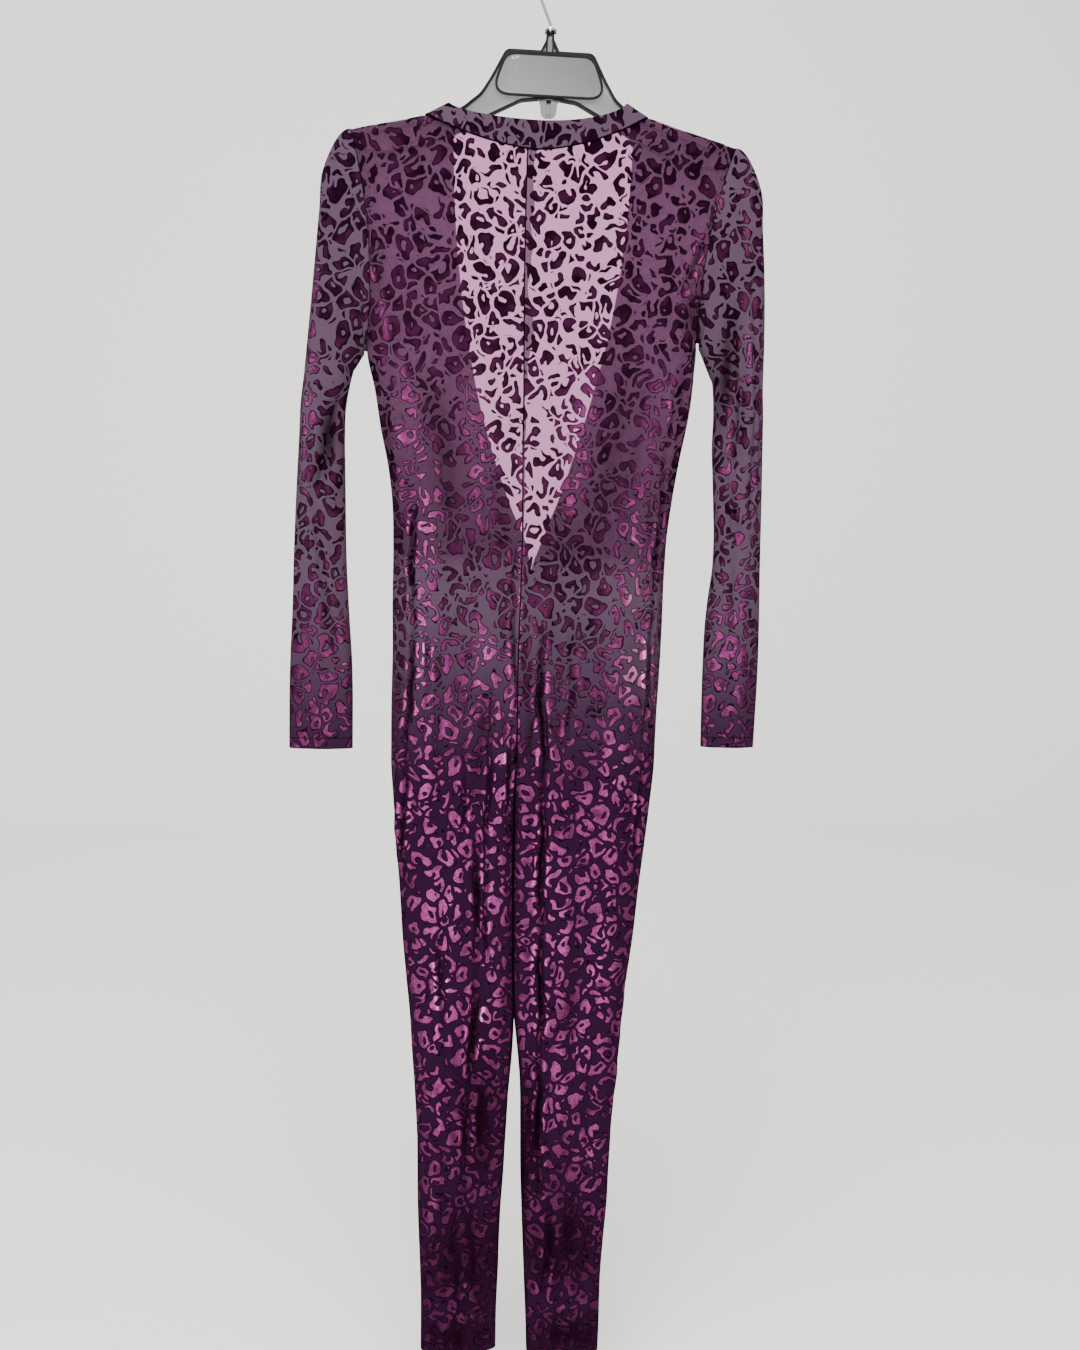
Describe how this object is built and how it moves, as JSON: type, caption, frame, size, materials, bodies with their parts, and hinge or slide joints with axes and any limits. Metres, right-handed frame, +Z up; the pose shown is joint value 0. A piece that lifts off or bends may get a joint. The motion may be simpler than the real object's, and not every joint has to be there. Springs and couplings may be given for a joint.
{
  "type": "unitard on a hanger",
  "caption": "Long-sleeved full-length unitard with a band collar at the back and a deep open V front, hanging flat by its shoulders on a clear plastic hanger with a wire hook.",
  "frame": {"origin": "the point under the top of the hook's wire, where it bears on a rod", "axes": "+Z up, +X to the right seen from the garment's back, +Y out of the garment's open front"},
  "size_m": [0.5441, 0.0698, 1.636],
  "materials": {
    "body_velvet": "sheer burnout velvet with plum leopard pile",
    "sleeve_velvet": "sheer burnout velvet with plum leopard pile",
    "band_velvet": "folded double burnout velvet",
    "clear_plastic": "clear moulded styrene",
    "grey_plastic": "smooth gloss",
    "plated_steel": "bright plated wire"
  },
  "bodies": {
    "root": {"back_left": "body_velvet", "back_right": "body_velvet", "front_left": "body_velvet", "front_right": "body_velvet", "sleeve_left": "sleeve_velvet", "sleeve_right": "sleeve_velvet", "collar_band": "band_velvet", "hanger_body": "clear_plastic", "hanger_plate": "grey_plastic", "hanger_lug": "clear_plastic", "hanger_ferrule": "plated_steel", "hanger_hook": "plated_steel"}
  },
  "joints": []
}
